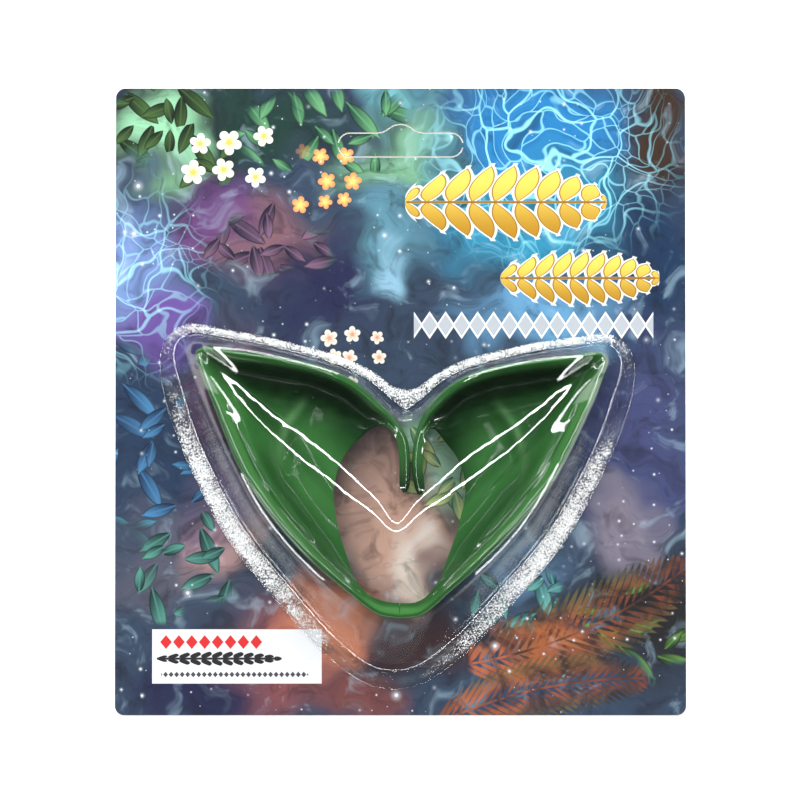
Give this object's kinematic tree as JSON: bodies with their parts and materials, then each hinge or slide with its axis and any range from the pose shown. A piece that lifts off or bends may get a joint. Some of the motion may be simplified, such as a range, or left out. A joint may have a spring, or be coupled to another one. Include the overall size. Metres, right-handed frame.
{
  "type": "pair of elf ear tips in a blister on a backing card",
  "caption": "Pair of hollow latex elf ear tips lying in a clear formed blister that is sealed to a flat hanging card with rounded corners.",
  "frame": {"origin": "centre of the card's back face, on the surface that the pack lies on", "axes": "+Z out of the card's printed front, +Y to its hanging edge, +X to the right of the printed front"},
  "size_m": [0.155, 0.1704, 0.0226],
  "materials": {
    "card": "printed board with a clear gloss coat",
    "blister": "clear thermoformed sheet, frosted at the seal",
    "latex": "glossy"
  },
  "bodies": {
    "root": {"backing_card": "card", "blister_shell": "blister", "ear_tip_left": "latex", "ear_tip_right": "latex"}
  },
  "joints": []
}
